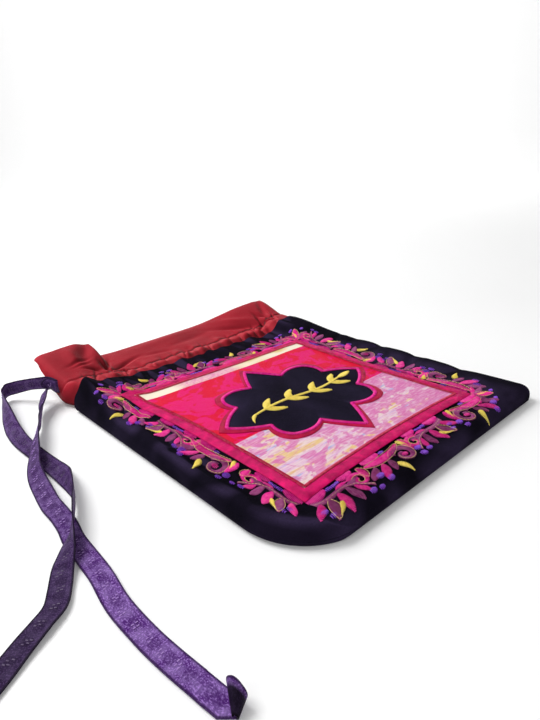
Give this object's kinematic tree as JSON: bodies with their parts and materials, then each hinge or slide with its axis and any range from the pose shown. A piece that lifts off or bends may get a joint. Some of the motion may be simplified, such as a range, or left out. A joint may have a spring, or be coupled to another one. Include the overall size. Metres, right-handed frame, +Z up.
{
  "type": "drawstring pouch",
  "caption": "Flat velvet drawstring pouch with a raised satin collar, an applied woven square with a velvet medallion, and a long ribbon tie.",
  "frame": {"origin": "on the table under the velvet body, 2 mm from its middle towards the mouth, where its underside rests", "axes": "+X across the pouch towards its right side seam, +Y towards its mouth and satin collar, +Z up from the table"},
  "size_m": [0.3954, 0.3253, 0.031],
  "materials": {
    "velvet": "deep navy velvet pile",
    "satin": "smooth burgundy satin",
    "frame_satin": "pink satin band",
    "cream_weave": "cream woven stripe",
    "red_jacquard": "red woven jacquard",
    "pastel_brocade": "pastel woven brocade",
    "crimson_satin": "crimson satin",
    "magenta_satin": "magenta satin cord",
    "gold_thread": "gold embroidery thread",
    "ribbon": "purple grosgrain ribbon"
  },
  "bodies": {
    "root": {"velvet_back": "velvet", "velvet_front": "velvet", "collar_back": "satin", "collar_front": "satin", "panel_frame": "frame_satin", "cream_stripe": "cream_weave", "red_jacquard": "red_jacquard", "pastel_brocade": "pastel_brocade", "medallion_border": "crimson_satin", "medallion_outline": "magenta_satin", "medallion": "velvet", "gold_sprig": "gold_thread", "drawstring_front": "ribbon", "drawstring_back": "ribbon", "ribbon_tail_a": "ribbon", "ribbon_tail_b": "ribbon", "ribbon_end_a": "ribbon", "ribbon_end_b": "ribbon"}
  },
  "joints": []
}
